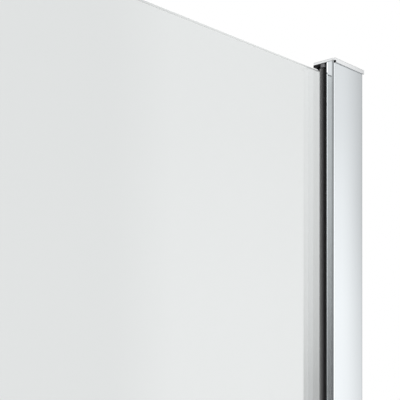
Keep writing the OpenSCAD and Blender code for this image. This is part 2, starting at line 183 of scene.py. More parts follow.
class Graph:
    """The nodes of one material, or of the world."""

    def __init__(self, tree: bpy.types.NodeTree) -> None:
        """Starts with no nodes."""
        tree.nodes.clear()
        self.tree = tree

    def node(self, kind: str, settings: dict[str, object] | None = None,
             inputs: dict[str | int, object] | None = None) -> bpy.types.Node:
        """Adds a node.

        Args:
            kind: The node's type.
            settings: Its settings, set first. "stops" holds a colour ramp's stops.
            inputs: The values or links of its sockets, by name or number.

        Returns:
            The node.
        """
        made = self.tree.nodes.new(kind)
        for name, value in (settings or {}).items():
            if name == "stops":
                self._set_stops(made.color_ramp, value)
            else:
                setattr(made, name, value)
        for key, value in (inputs or {}).items():
            self._feed(made.inputs[key], value)
        return made

    def _set_stops(self, ramp: bpy.types.ColorRamp, stops: Sequence) -> None:
        """Gives a ramp its stops.

        Args:
            ramp: The ramp, with fewer stops than it needs.
            stops: Pairs of a place and a colour, from left to right.
        """
        while len(ramp.elements) < len(stops):
            ramp.elements.new(1.0)
        for element, (place, colour) in zip(ramp.elements, stops):
            element.position = place
            element.color = colour

    def _feed(self, socket: bpy.types.NodeSocket, value: object) -> None:
        """Links a socket, or sets its value.

        Args:
            socket: The socket.
            value: A signal or another node's socket to link, or a plain value.
        """
        source = value.socket if isinstance(value, Signal) else value
        if isinstance(source, bpy.types.NodeSocket):
            self.tree.links.new(source, socket)
        else:
            socket.default_value = source

    def signal(self, node: bpy.types.Node, output: str | int) -> Signal:
        """One of a node's outputs as a signal."""
        return Signal(self, node.outputs[output])

    def place(self) -> bpy.types.NodeSocket:
        """The place on the object."""
        return self.node("ShaderNodeTexCoord").outputs["Object"]

    def parts(self, vector: bpy.types.NodeSocket) -> list[Signal]:
        """A vector's X, Y and Z."""
        node = self.node("ShaderNodeSeparateXYZ", inputs={"Vector": vector})
        return [self.signal(node, axis) for axis in "XYZ"]

    def noise(self, sizes: Sizes, detail: float) -> Signal:
        """Soft noise that is fixed to the object.

        Args:
            sizes: The size of its spots along X, Y and Z.
            detail: How many finer layers it has.

        Returns:
            The noise, about 0 to 1.
        """
        scale = tuple(1.0 / size for size in sizes)
        spread = self.node("ShaderNodeMapping", inputs={"Vector": self.place(), "Scale": scale})
        inputs = {"Vector": spread.outputs["Vector"], "Scale": 1.0, "Detail": detail}
        return self.signal(self.node("ShaderNodeTexNoise", inputs=inputs), 0)

    def blend(self, mask: Signal, low: Colour, high: Colour) -> bpy.types.NodeSocket:
        """A colour that goes from low to high as the mask goes from 0 to 1."""
        inputs = {MIX_MASK: mask, MIX_LOW: (*low, 1.0), MIX_HIGH: (*high, 1.0)}
        return self.node("ShaderNodeMix", {"data_type": "RGBA"}, inputs).outputs[MIX_COLOUR]

    def bump(self, height: Signal, depth: float) -> bpy.types.NodeSocket:
        """The normal of a surface with that relief, depth deep."""
        return self.node("ShaderNodeBump", inputs={"Height": height, "Distance": depth}).outputs[0]

    def surface(self, sockets: dict[str, object]) -> None:
        """Ends a material with a principled shader that has these sockets."""
        shader = self.node("ShaderNodeBsdfPrincipled", inputs=sockets)
        self.node("ShaderNodeOutputMaterial", inputs={"Surface": shader.outputs[0]})


# Finishes


@dataclass(frozen=True)
class Finish:
    """A material, made once under its name.

    One noise is its relief. A mask, as a rule clouds, takes its tone from one share of
    its colour to another. Its roughness varies by spread, with the relief or the mask.
    """

    name: str
    colour: Colour
    roughness: float
    relief: Sizes
    clouds: Sizes
    depth: float
    spread: float
    shares: tuple[float, float]
    relief_detail: float = GRAIN
    cloud_detail: float = CLOUDS
    gloss_in_relief: bool = False
    metal: float = 0.0

    def material(self) -> bpy.types.Material:
        """The finish as a material.

        Returns:
            The material, which is made the first time that it is asked for.
        """
        made = bpy.data.materials.get(self.name)
        if made is None:
            made = bpy.data.materials.new(self.name)
            made.use_nodes = True
            self.dress(Graph(made.node_tree))
        return made

    def dress(self, graph: Graph) -> None:
        """Builds the finish's nodes.

        Args:
            graph: The material's nodes.
        """
        relief = graph.noise(self.relief, self.relief_detail)
        mask = self.mask(graph)
        gloss = relief if self.gloss_in_relief else mask
        graph.surface({
            "Base Color": graph.blend(mask, *self.tones()),
            "Metallic": self.metal,
            "Roughness": self.uneven(gloss) if self.spread else self.roughness,
            "Normal": graph.bump(relief, self.depth),
            **self.sockets(),
        })

    def mask(self, graph: Graph) -> Signal:
        """0 where the tone is its first colour, and 1 where it is its second."""
        return graph.noise(self.clouds, self.cloud_detail)

    def tones(self) -> list[Colour]:
        """The two colours that the tone goes between."""
        return [tuple(part * share for part in self.colour) for share in self.shares]

    def uneven(self, gloss: Signal) -> Signal:
        """The roughness, made to vary by spread where gloss goes from 0 to 1."""
        return self.roughness + self.spread * (gloss - 0.5)

    def sockets(self) -> dict[str, float]:
        """The shader's other sockets."""
        return {}


@dataclass(frozen=True)
class DrawnMetal(Finish):
    """Extruded metal, with fine die lines along its length in its gloss and its relief."""

    relief: Sizes = (0.25 * MM, 0.25 * MM, 500 * MM)
    clouds: Sizes = (12 * MM, 12 * MM, 160 * MM)
    depth: float = 0.0001 * MM
    spread: float = 0.04
    shares: tuple[float, float] = (0.98, 1.0)
    gloss_in_relief: bool = True
    metal: float = 1.0


@dataclass(frozen=True)
class TurnedMetal(Finish):
    """Machined steel, with small tool marks in its relief and clouds of handling."""

    relief: Sizes = (0.15 * MM,) * 3
    clouds: Sizes = (3 * MM,) * 3
    depth: float = 0.0015 * MM
    spread: float = 0.12
    shares: tuple[float, float] = (0.88, 1.0)
    metal: float = 1.0


@dataclass(frozen=True)
class BrightPlastic(Finish):
    """White moulded plastic that shows through a thin bright metal coat.

    Its relief is the slight ripple of a moulding, and its clouds are specks in the coat.
    """

    relief: Sizes = (6 * MM,) * 3
    clouds: Sizes = (0.4 * MM,) * 3
    depth: float = 0.004 * MM
    spread: float = 0.03
    shares: tuple[float, float] = (0.985, 1.0)
    relief_detail: float = WAVE
    metal: float = 0.55


@dataclass(frozen=True)
class Rubber(Finish):
    """Rubber with flow lines in its skin, and a faint bloom that lifts its colour."""

    relief: Sizes = (0.3 * MM, 0.3 * MM, 8 * MM)
    clouds: Sizes = (9 * MM, 9 * MM, 40 * MM)
    depth: float = 0.01 * MM
    spread: float = 0.1
    shares: tuple[float, float] = (1.0, 1.35)
    sheen: float = 0.5

    def sockets(self) -> dict[str, float]:
        """How strongly the skin reflects."""
        return {"Specular IOR Level": self.sheen}


@dataclass(frozen=True)
class PaintedSheenRubber(Rubber):
    """Rubber with a painted sheen: its lip turns from black to paler towards the glass."""

    spread: float = 0.08
    gloss_in_relief: bool = True
    # The paler colour painted on the lip as sheen
    pale: Colour = (0.21, 0.21, 0.21)
    lip_y: float = 0.0
    glass_y: float = 0.0

    def mask(self, graph: Graph) -> Signal:
        """0 outside the lip, and 1 where it meets the glass, where the painted sheen is palest."""
        _, depth_in, _ = graph.parts(graph.place())
        return depth_in.rises(self.lip_y, self.glass_y)

    def tones(self) -> list[Colour]:
        """The rubber's own colour, and the paler one painted on its lip as sheen."""
        return [self.colour, self.pale]


@dataclass(frozen=True)
class NaturalNylon(Finish):
    """Moulded nylon that lets a little light in, with a fine grain and faint yellowing."""

    relief: Sizes = (0.25 * MM,) * 3
    clouds: Sizes = (6 * MM,) * 3
    depth: float = 0.01 * MM
    spread: float = 0.08
    shares: tuple[float, float] = (0.93, 1.0)
    gloss_in_relief: bool = True
    glow: float = 0.15
    glow_depth: float = 2 * MM

    def sockets(self) -> dict[str, float]:
        """How much light goes in, and how deep."""
        return {"Subsurface Weight": self.glow, "Subsurface Scale": self.glow_depth}


@dataclass(frozen=True)
class Clear(Finish):
    """Glass or clear plastic, with a slow wave, and smears where it has a spread."""

    relief: Sizes = (90 * MM,) * 3
    clouds: Sizes = (90 * MM,) * 3
    depth: float = 0.001 * MM
    spread: float = 0.0
    shares: tuple[float, float] = (0.995, 1.0)
    relief_detail: float = WAVE
    cloud_detail: float = WAVE
    index: float = 1.52
    clearness: float = 1.0

    def sockets(self) -> dict[str, float]:
        """How much light goes through, and how it bends."""
        return {"Transmission Weight": self.clearness, "IOR": self.index}


POLISHED = DrawnMetal("polished_aluminium_finish", (0.885, 0.925, 0.95), 0.055)
MILL = DrawnMetal("mill_aluminium_finish", (0.66, 0.68, 0.70), 0.36, depth=0.004 * MM, spread=0.2,
                  shares=(0.9, 1.0))
STEEL = TurnedMetal("stainless_steel_finish", (0.62, 0.62, 0.63), 0.28)
BRIGHT_CAP = BrightPlastic("bright_cap_finish", (0.93, 0.945, 0.955), 0.05)
# Painted shade: a grey copy of the cap finish, under the lip and along the bevels
CAP_PAINTED_SHADE = BrightPlastic("cap_painted_shade_finish", (0.42, 0.425, 0.43), 0.3, metal=1.0)
# Painted highlight: a paler, matt copy of the cap finish, on its front corner
CAP_PAINTED_HIGHLIGHT = BrightPlastic("cap_painted_highlight_finish", (0.96, 0.965, 0.97), 0.42)
# Painted shadow: near-black, under the cap and at its lip's end
CAP_PAINTED_SHADOW = Rubber("cap_painted_shadow_finish", (0.009, 0.009, 0.010), 0.6, relief=(0.4 * MM,) * 3, sheen=0.06)
BLACK_RUBBER = Rubber("black_rubber_finish", (0.024, 0.024, 0.025), 0.42)
SEAL_RUBBER = Rubber("seal_block_finish", (0.010, 0.010, 0.011), 0.55, sheen=0.12)
GREY_RUBBER = Rubber("grey_rubber_finish", (0.17, 0.17, 0.175), 0.5, shares=(1.0, 1.12))
NYLON = NaturalNylon("nylon_finish", (0.82, 0.81, 0.76), 0.42)
GLASS = Clear("clear_glass_finish", (0.787, 0.805, 0.803), 0.0)
GLASS_EDGE = Clear("glass_edge_finish", (0.84, 0.90, 0.88), 0.03)
GLASS_ARRIS = Clear("ground_arris_finish", (0.80, 0.82, 0.81), 0.45, clearness=0.15)
GLASS_SIDE = Clear("glass_side_finish", (0.40, 0.60, 0.53), 0.15, clearness=0.6)
SOFT_CLEAR = Clear("clear_seal_finish", (0.86, 0.90, 0.91), 0.17, relief=(14 * MM,) * 3,
                   clouds=(14 * MM,) * 3, depth=0.02 * MM, spread=0.1, index=1.46)


# Mesh building


class Axis(IntEnum):
    """The axes, by their number in a vector."""

    X = 0
    Y = 1
    Z = 2


class Form:
    """A mesh under construction, in metres and in the frame of the part."""

    def __init__(self) -> None:
        """Starts empty."""
        self.mesh = bmesh.new()

    @classmethod
    def copy_of(cls, node: str) -> "Form":
        """A merged copy of a CAD node, with its flat faces made whole.

        Args:
            node: The CAD node.

        Returns:
            The copy, all in its first finish.
        """
        form = cls()
        form.mesh.from_mesh(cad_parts[node].data)
        bmesh.ops.remove_doubles(form.mesh, verts=form.mesh.verts, dist=WELD)
        bmesh.ops.dissolve_limit(form.mesh, angle_limit=FLAT, verts=form.mesh.verts,
                                 edges=form.mesh.edges)
        for face in form.mesh.faces:
            face.material_index = 0
        return form

    @classmethod
    def section(cls, outline: Sequence[Vector], radii: Sequence[float], length: Vector,
                hollow: Sequence[Vector] = (), hollow_radius: float = 0.0) -> "Form":
        """An extrusion with rounded corners and, if asked, a hollow along its length.

        Args:
            outline: The corners of the section, in order.
            radii: The radius of each corner.
            length: The way and the distance to extrude.
            hollow: The corners of the hollow.
            hollow_radius: The radius of the hollow's corners.

        Returns:
            The closed form.
        """
        form = cls()
        form._rounded_face(outline, radii)
        if hollow:
            form._rounded_face(hollow, [hollow_radius] * len(hollow))
            loops = list(form.mesh.edges)
            bmesh.ops.delete(form.mesh, geom=form.mesh.faces[:], context="FACES_ONLY")
            bmesh.ops.triangle_fill(form.mesh, use_beauty=True, edges=loops)
        form._extrude(length)
        return form

    def _rounded_face(self, corners: Sequence[Vector], radii: Sequence[float]) -> None:
        """Adds a flat face with rounded corners.

        Args:
            corners: The face's corners, in order.
            radii: The radius of each corner, 0 where it stays sharp.
        """
        made = [self.mesh.verts.new(corner) for corner in corners]
        self.mesh.faces.new(made)
        for radius in sorted(set(radii) - {0.0}):
            chosen = [vert for vert, own in zip(made, radii) if own == radius]
            self.bevel(chosen, radius, CORNER_FACES, affect="VERTICES")

    def _extrude(self, step: Vector) -> None:
        """Makes the flat faces drawn so far a closed solid.

        Args:
            step: The way and the distance from one end of the solid to the other.
        """
        made = bmesh.ops.extrude_face_region(self.mesh, geom=self.mesh.faces[:])
        moved = [item for item in made["geom"] if isinstance(item, bmesh.types.BMVert)]
        bmesh.ops.translate(self.mesh, verts=moved, vec=step)
        bmesh.ops.recalc_face_normals(self.mesh, faces=self.mesh.faces[:])

    def bevel(self, items: Sequence, width: float, segments: int, affect: str = "EDGES",
              clamp: bool = False) -> None:
        """Bevels edges or corners.

        Args:
            items: The edges or the corners.
            width: The bevel's width.
            segments: How many faces it has across.
            affect: "EDGES" or "VERTICES".
            clamp: Whether the width is cut where two bevels would meet.
        """
        bmesh.ops.bevel(self.mesh, geom=items, offset=width, offset_type="OFFSET", affect=affect,
                        segments=segments, profile=0.5, material=-1, clamp_overlap=clamp)

    def soften(self, width: float, segments: int = 3) -> "Form":
        """Rounds every sharp edge.

        Args:
            width: The rounding's width.
            segments: How many faces it has across.

        Returns:
            The form.
        """
        sharp = [edge for edge in self.mesh.edges
                 if edge.is_manifold and edge.calc_face_angle(0.0) > SHARP]
        self.bevel(sharp, width, segments, clamp=True)
        return self

    def split(self, way: Vector, place: Vector) -> None:
        """Cuts the faces along the plane that is square to way and goes through place."""
        geometry = self.mesh.verts[:] + self.mesh.edges[:] + self.mesh.faces[:]
        bmesh.ops.bisect_plane(self.mesh, geom=geometry, dist=TOUCH, plane_no=way, plane_co=place)

    def lift(self, axis: Axis, level: float, step: float) -> "Form":
        """Moves the corners that lie on one plane, to leave a hairline beside a neighbour.

        Args:
            axis: The axis that the plane is square to.
            level: Where the plane lies on that axis.
            step: How far its corners move along the axis.

        Returns:
            The form.
        """
        chosen = [vert for vert in self.mesh.verts if abs(vert.co[axis] - level) < TOUCH]
        way = Vector((0.0, 0.0, 0.0))
        way[axis] = step
        bmesh.ops.translate(self.mesh, verts=chosen, vec=way)
        return self

    def piece(self, name: str, finishes: Sequence[Finish]) -> bpy.types.Object:
        """Makes the form an object, with smooth rounded edges.

        Args:
            name: The piece's name.
            finishes: Its finishes, in the order of their numbers.

        Returns:
            The object, at the origin.
        """
        data = bpy.data.meshes.new(name)
        self.mesh.to_mesh(data)
        self.mesh.free()
        custom = data.attributes.get("custom_normal")
        if custom is not None:
            data.attributes.remove(custom)
        for finish in finishes:
            data.materials.append(finish.material())
        data.shade_smooth()
        data.set_sharp_from_angle(angle=SHARP)
        made = bpy.data.objects.new(name, data)
        bpy.context.scene.collection.objects.link(made)
        flat_faces = made.modifiers.new("flat_faces_stay_flat", "WEIGHTED_NORMAL")
        flat_faces.keep_sharp = True
        return made


# Screws

# Rings in one turn of a thread, and rings over which it rises from the core at its ends
THREAD_STEPS = 10
THREAD_FADE = 6
# How many times steeper a thread's flanks are than flanks that fill the whole turn
THREAD_STEEPNESS = 1.6
# Keeps a cross recess from dividing by nothing along the middle of an arm
LEAST_SINE = 1e-6


class Outline(Enum):
    """The outlines that a turned piece's rings can have."""

    ROUND = "round"
    HEXAGON = "hexagon"
    CROSS = "cross"
    THREAD = "thread"


@dataclass(frozen=True)
class Ring:
    """One ring of a turned piece."""

    height: float
    reach: float
    outline: Outline = Outline.ROUND
    arm: float = 0.0
    turn: float = 0.0

    def radius(self, angle: float) -> float:
        """How far the ring reaches at an angle.

        Args:
            angle: The angle round the axis, in radians.

        Returns:
            The distance from the axis. A cross has arms of width arm, and a thread
            stands arm proud of the reach where its crest is.
        """
        if self.outline is Outline.HEXAGON:
            return self.reach / math.cos(angle % (math.pi / 3) - math.pi / 6)
        if self.outline is Outline.CROSS:
            lean = abs((angle + math.pi / 4) % (math.pi / 2) - math.pi / 4)
            side = self.arm / 2 / max(math.sin(lean), LEAST_SINE)
            return min(self.reach / math.cos(lean), side)
        if self.outline is Outline.THREAD:
            share = (angle / math.tau - self.turn) % 1.0
            return self.reach + self.arm * max(0.0, 1.0 - abs(2 * share - 1) * THREAD_STEEPNESS)
        return self.reach


@dataclass(frozen=True)
class Turned:
    """A piece built ring by ring along +Z, closed at both ends."""

    rings: Sequence[Ring]
    columns: int = 36

    def form(self, placements: Sequence[Matrix]) -> Form:
        """Builds the piece once at each placement.

        Args:
            placements: Where each copy stands, and how it is turned.

        Returns:
            All the copies as one form.
        """
        made = Form()
        for placement in placements:
            known = set(made.mesh.verts)
            self._loft(made.mesh)
            fresh = [vert for vert in made.mesh.verts if vert not in known]
            bmesh.ops.transform(made.mesh, matrix=placement, verts=fresh)
        bmesh.ops.recalc_face_normals(made.mesh, faces=made.mesh.faces[:])
        return made

    def _loft(self, mesh: bmesh.types.BMesh) -> None:
        """Draws the first ring, then carries its edge through the others.

        Args:
            mesh: The mesh that takes the piece.
        """
        first = bmesh.ops.create_circle(mesh, cap_ends=True, segments=self.columns, radius=1.0)
        self._shape(first["verts"], self.rings[0])
        edges = {edge for vert in first["verts"] for edge in vert.link_edges}
        for ring in self.rings[1:]:
            grown = bmesh.ops.extrude_edge_only(mesh, edges=list(edges))["geom"]
            verts = [item for item in grown if isinstance(item, bmesh.types.BMVert)]
            self._shape(verts, ring)
            edges = {edge for edge in grown if isinstance(edge, bmesh.types.BMEdge)
                     and edge.is_boundary}
        bmesh.ops.edgeloop_fill(mesh, edges=list(edges))

    def _shape(self, verts: Sequence[bmesh.types.BMVert], ring: Ring) -> None:
        """Moves a ring's corners to its outline and height.

        Args:
            verts: The corners, round about the axis.
            ring: The ring that they make.
        """
        for vert in verts:
            angle = math.atan2(vert.co.y, vert.co.x)
            radius = ring.radius(angle)
            vert.co = (radius * math.cos(angle), radius * math.sin(angle), ring.height)


@dataclass(frozen=True)
class Thread:
    """A screw thread that rises from its core and dies back into it."""

    core_r: float
    crest_r: float
    pitch: float
    run_in: float
    run_out: float

    def rings(self, length: float) -> list[Ring]:
        """The thread along a shank that stands at 0.

        Args:
            length: The height of the shank's upper end.

        Returns:
            The rings, in order.
        """
        start, end = self.run_in, length - self.run_out
        steps = round((end - start) / self.pitch * THREAD_STEPS)
        rings = []
        for step in range(steps + 1):
            height = start + (end - start) * step / steps
            fade = min(1.0, step / THREAD_FADE, (steps - step) / THREAD_FADE)
            crest = (self.crest_r - self.core_r) * fade
            rings.append(Ring(height, self.core_r, Outline.THREAD, crest, height / self.pitch))
        return rings


@dataclass(frozen=True)
class ButtonScrew:
    """A machine screw with a domed head and a hexagon socket, which stands on its tip."""

    thread: Thread = Thread(core_r=2.08 * MM, crest_r=2.5 * MM, pitch=0.8 * MM,
                            run_in=0.5 * MM, run_out=0.6 * MM)
    tip_share: float = 0.75
    tip_h: float = 0.4 * MM
    head_r: float = 4.2 * MM
    head_h: float = 2.6 * MM
    flange_h: float = 0.3 * MM
    flange_edge: float = 0.15 * MM
    crown_r: float = 2.3 * MM
    dome_lean: float = math.radians(78)
    dome_steps: int = 7
    socket_r: float = 1.5 * MM
    socket_edge: float = 0.15 * MM
    socket_depth: float = 1.4 * MM
    mouth_share: float = 1.2
    pit_share: float = 0.3
    pit_depth: float = 1.7 * MM

    def rings(self, length: float) -> list[Ring]:
        """The screw from its tip to the bottom of its socket.

        Args:
            length: How high the head's top is above the tip.

        Returns:
            The rings, in order.
        """
        neck = length - self.head_h
        core_r = self.thread.core_r
        rings = [Ring(0.0, self.tip_share * core_r), Ring(self.tip_h, core_r)]
        rings += self.thread.rings(neck)
        rings += [Ring(neck, core_r), Ring(neck, self.head_r - self.flange_edge)]
        for step in range(self.dome_steps + 1):
            lean = self.dome_lean * step / self.dome_steps
            rise = (self.head_h - self.flange_h) * math.sin(lean) / math.sin(self.dome_lean)
            reach = self.crown_r + (self.head_r - self.crown_r) * math.cos(lean)
            rings.append(Ring(neck + self.flange_h + rise, reach))
        return rings + [
            Ring(length, self.mouth_share * self.socket_r),
            Ring(length - self.socket_edge, self.socket_r, Outline.HEXAGON),
            Ring(length - self.socket_depth, self.socket_r, Outline.HEXAGON),
            Ring(length - self.pit_depth, self.pit_share * self.socket_r),
        ]


@dataclass(frozen=True)
class CountersunkScrew:
    """A self-tapping screw with a cross recess, which stands on its point."""

    thread: Thread = Thread(core_r=1.2 * MM, crest_r=1.7 * MM, pitch=1.3 * MM,
                            run_in=1.7 * MM, run_out=3.4 * MM)
    point_r: float = 0.1 * MM
    point_h: float = 1.6 * MM
    shoulder_r: float = 0.9 * MM
    neck_depth: float = 2.6 * MM
    cone_depth: float = 1.5 * MM
    head_r: float = 3.1 * MM
    land_depth: float = 0.12 * MM
    land_edge: float = 0.02 * MM
    face_edge: float = 0.15 * MM
    mouth_r: float = 1.9 * MM
    cross_r: float = 1.7 * MM
    cross_arm: float = 1.1 * MM
    cross_edge: float = 0.02 * MM
    cross_foot_r: float = 1.2 * MM
    cross_foot_arm: float = 0.8 * MM
    cross_depth: float = 1.0 * MM
    pit_r: float = 0.15 * MM
    pit_depth: float = 1.3 * MM

    def rings(self, length: float) -> list[Ring]:
        """The screw from its point to the bottom of its recess.

        Args:
            length: How high the head's top is above the point.

        Returns:
            The rings, in order.
        """
        rings = [Ring(0.0, self.point_r), Ring(self.point_h, self.shoulder_r)]
        return rings + self.thread.rings(length) + [
            Ring(length - self.neck_depth, self.thread.core_r),
            Ring(length - self.cone_depth, self.thread.crest_r),
            Ring(length - self.land_depth, self.head_r - self.land_edge),
            Ring(length, self.head_r - self.face_edge),
            Ring(length, self.mouth_r),
            Ring(length - self.cross_edge, self.cross_r, Outline.CROSS, self.cross_arm),
            Ring(length - self.cross_depth, self.cross_foot_r, Outline.CROSS, self.cross_foot_arm),
            Ring(length - self.pit_depth, self.pit_r),
        ]


# Sub-assemblies


@dataclass
class SubAssembly:
    """Pieces that ride on one body."""

    body: str

    def add(self, form: Form, node: str, slot: str, *finishes: Finish) -> None:
        """Puts a finished piece in the place of a node.

        Args:
            form: The piece's mesh.
            node: The CAD node that it stands for.
            slot: The record's material slot; not used.
            finishes: The piece's finishes, in the order of their numbers.
        """
        made = form.piece(f"{node}_piece", finishes)
        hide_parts(node)
        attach(made, self.body)
        LOG.info("%s stands for %s on %s: %d faces", made.name, node, self.body,
                 len(made.data.polygons))

    def add_softened(self, node: str, slot: str, finish: Finish, edge: float,
                     segments: int = 3) -> None:
        """Puts a copy of a node with rounded edges in the node's place.

        Args:
            node: The CAD node.
            slot: The record's material slot.
            finish: The piece's finish.
            edge: The width of the rounding.
            segments: How many faces the rounding has across.
        """
        self.add(Form.copy_of(node).soften(edge, segments), node, slot, finish)

    def refinish(self, node: str, finish: Finish) -> None:
        """Gives a CAD node that stays a better material.

        Args:
            node: The CAD node.
            finish: Its finish.
        """
        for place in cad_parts[node].material_slots:
            place.material = finish.material()
        LOG.info("%s stays, in %s", node, finish.name)


@dataclass
class WallFixing(SubAssembly):
    """The channel on the wall, with its plug, nut plates, screws and washers."""

    body: str = "wall_side"
    plug_edge: float = 0.6 * MM
    plate_edge: float = 0.35 * MM
    washer_edge: float = 0.2 * MM
    screw: ButtonScrew = ButtonScrew()

    def build(self) -> None:
        """Dresses the channel and makes its small parts."""
        self.refinish("wall_channel", MILL)
        self.add_softened("channel_foot_plug", "black_rubber", BLACK_RUBBER, self.plug_edge)
        self.add_softened("nut_plates", "steel", STEEL, self.plate_edge)
        self.add_softened("clamp_washers", "steel", STEEL, self.washer_edge, 2)
        self.add(self.clamp_screws(), "clamp_screws", "steel", STEEL)

    def clamp_screws(self) -> Form:
        """The three screws, one in each nut plate, with their heads to the rear.

        Returns:
            The screws as one form.
        """
        low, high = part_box("clamp_screws")
        middle_x = (low.x + high.x) / 2
        spread = (high.z - low.z - 2 * self.screw.head_r) / 2
        heights = [(low.z + high.z) / 2 + side * spread for side in (-1, 0, 1)]
        turn = Matrix.Rotation(-math.pi / 2, 4, "X")
        places = [Matrix.Translation((middle_x, low.y, height)) @ turn for height in heights]
        return Turned(self.screw.rings(high.y - low.y)).form(places)


class End(IntEnum):
    """The post's ends, as the way along Z that each of them looks."""

    TOP = 1
    FOOT = -1


class CapPart(IntEnum):
    """The parts of an end cap, by the number of their finish."""

    PLATE = 0
    # Painted shadow: near-black on the underside and at the lip's end
    PAINTED_SHADOW = 1
    # Painted shade: grey under the lip and along the bevels
    PAINTED_SHADE = 2
    # Painted highlight: paler and matt on the front corner
    CORNER = 3


@dataclass
class Post(SubAssembly):
    """The polished post with its end caps, their screws and the slot covers."""

    body: str = "screen"
    cap_edge: float = 0.2 * MM
    # Faces below the plate that are nearer than this to the cap's left end take painted shadow, on
    # the lip too
    lip_shadow_reach: float = 2.2 * MM
    cover_edge: float = 0.45 * MM
    # Cosines that tell a cap's faces apart: those that look in (painted shadow, or painted shade
    # under the lip), the bevels (painted shade), and the sides (painted highlight)
    inward_cosine: float = 0.5
    bevel_cosines: tuple[float, float] = (0.3, 0.9)
    side_cosine: float = -0.1
    screw: CountersunkScrew = CountersunkScrew()
    screw_columns: int = 48

    def build(self) -> None:
        """Dresses the post and makes what is fixed to it."""
        self.refinish("post_profile", POLISHED)
        for node, end in (("top_cap", End.TOP), ("bottom_cap", End.FOOT)):
            self.add(self.cap(node, end), node, "cap_plastic",
                     BRIGHT_CAP, CAP_PAINTED_SHADOW, CAP_PAINTED_SHADE, CAP_PAINTED_HIGHLIGHT)
        for node, end in (("top_cap_screw", End.TOP), ("bottom_cap_screw", End.FOOT)):
            self.add(self.cap_screw(node, end), node, "steel", STEEL)
        self.add_softened("slot_covers", "cap_plastic", BRIGHT_CAP, self.cover_edge)

    def cap(self, node: str, end: End) -> Form:
        """An end cap with rounded edges, with painted shadow under it and at its lip's end, painted
        shade under its lip and along its bevels, and a painted highlight at its front corner.

        Args:
            node: The cap's CAD node.
            end: The end of the post that it closes.

        Returns:
            The cap's mesh.
        """
        form = Form.copy_of(node)
        inward = Vector((0.0, 0.0, -end))
        post_low, post_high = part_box("post_profile")
        plate_z = post_high.z if end is End.TOP else post_low.z
        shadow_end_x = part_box(node)[0].x + self.lip_shadow_reach
        form.split(inward, Vector((0.0, 0.0, plate_z)))
        form.split(Vector((1.0, 0.0, 0.0)), Vector((shadow_end_x, 0.0, 0.0)))
        form.mesh.normal_update()
        least, most = self.bevel_cosines
        for face in form.mesh.faces:
            middle = face.calc_center_median()
            past_plate = (middle.z - plate_z) * inward.z > 0
            on_lip = middle.y < post_low.y
            # Painted shadow: near-black under the plate and at the lip's end, where the cap casts
            # shade
            if past_plate and (middle.x < shadow_end_x or not on_lip):
                face.material_index = CapPart.PAINTED_SHADOW
            # Faces that look in: painted shade under the lip, painted shadow elsewhere
            elif face.normal.dot(inward) > self.inward_cosine:
                face.material_index = CapPart.PAINTED_SHADE if on_lip else CapPart.PAINTED_SHADOW
            # Painted shade: grey bevels in place of what they mirror
            elif least < -face.normal.dot(inward) < most:
                face.material_index = CapPart.PAINTED_SHADE
            # Painted highlight: a paler, matt corner in place of what it mirrors
            elif max(face.normal.x, face.normal.y) < self.side_cosine:
                face.material_index = CapPart.CORNER
        return form.soften(self.cap_edge)

    def cap_screw(self, node: str, end: End) -> Form:
        """The screw that holds an end cap.

        Args:
            node: The screw's CAD node.
            end: The end of the post that its head looks out of.

        Returns:
            The screw's mesh.
        """
        low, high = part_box(node)
        middle = (low + high) / 2
        point_z = low.z if end is End.TOP else high.z
        turn = Matrix.Identity(4) if end is End.TOP else Matrix.Rotation(math.pi, 4, "X")
        place = Matrix.Translation((middle.x, middle.y, point_z)) @ turn
        return Turned(self.screw.rings(high.z - low.z), self.screw_columns).form([place])


class GlassPart(IntEnum):
    """The parts of the glass sheet, by the number of their finish."""

    FACE = 0
    EDGE = 1
    ARRIS = 2
    SIDE = 3


@dataclass(frozen=True)
class Block:
    """A small block that touches the glass with one of its outermost faces.

    Its side is 1 if that is its lowest face along the axis, and -1 if its highest.
    """

    node: str
    slot: str
    finish: Finish
    axis: Axis
    side: int
    edge: float = 0.2 * MM
    segments: int = 3

    def form(self) -> Form:
        """The block with rounded edges, a hairline clear of the glass.

        Returns:
            The block's mesh.
        """
        low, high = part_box(self.node)
        level = low[self.axis] if self.side > 0 else high[self.axis]
        copy = Form.copy_of(self.node).lift(self.axis, level, self.side * HAIRLINE)
        return copy.soften(self.edge, self.segments)


BLOCKS = (
    Block("rear_seat", "black_rubber", BLACK_RUBBER, Axis.Y, 1),
    Block("gasket_stop", "grey_rubber", GREY_RUBBER, Axis.Y, -1),
    Block("top_seal_block", "black_rubber", SEAL_RUBBER, Axis.Z, 1, 0.1 * MM, 2),
    Block("setting_block", "nylon", NYLON, Axis.Z, -1),
    Block("edge_spacers", "nylon", NYLON, Axis.X, 1),
)


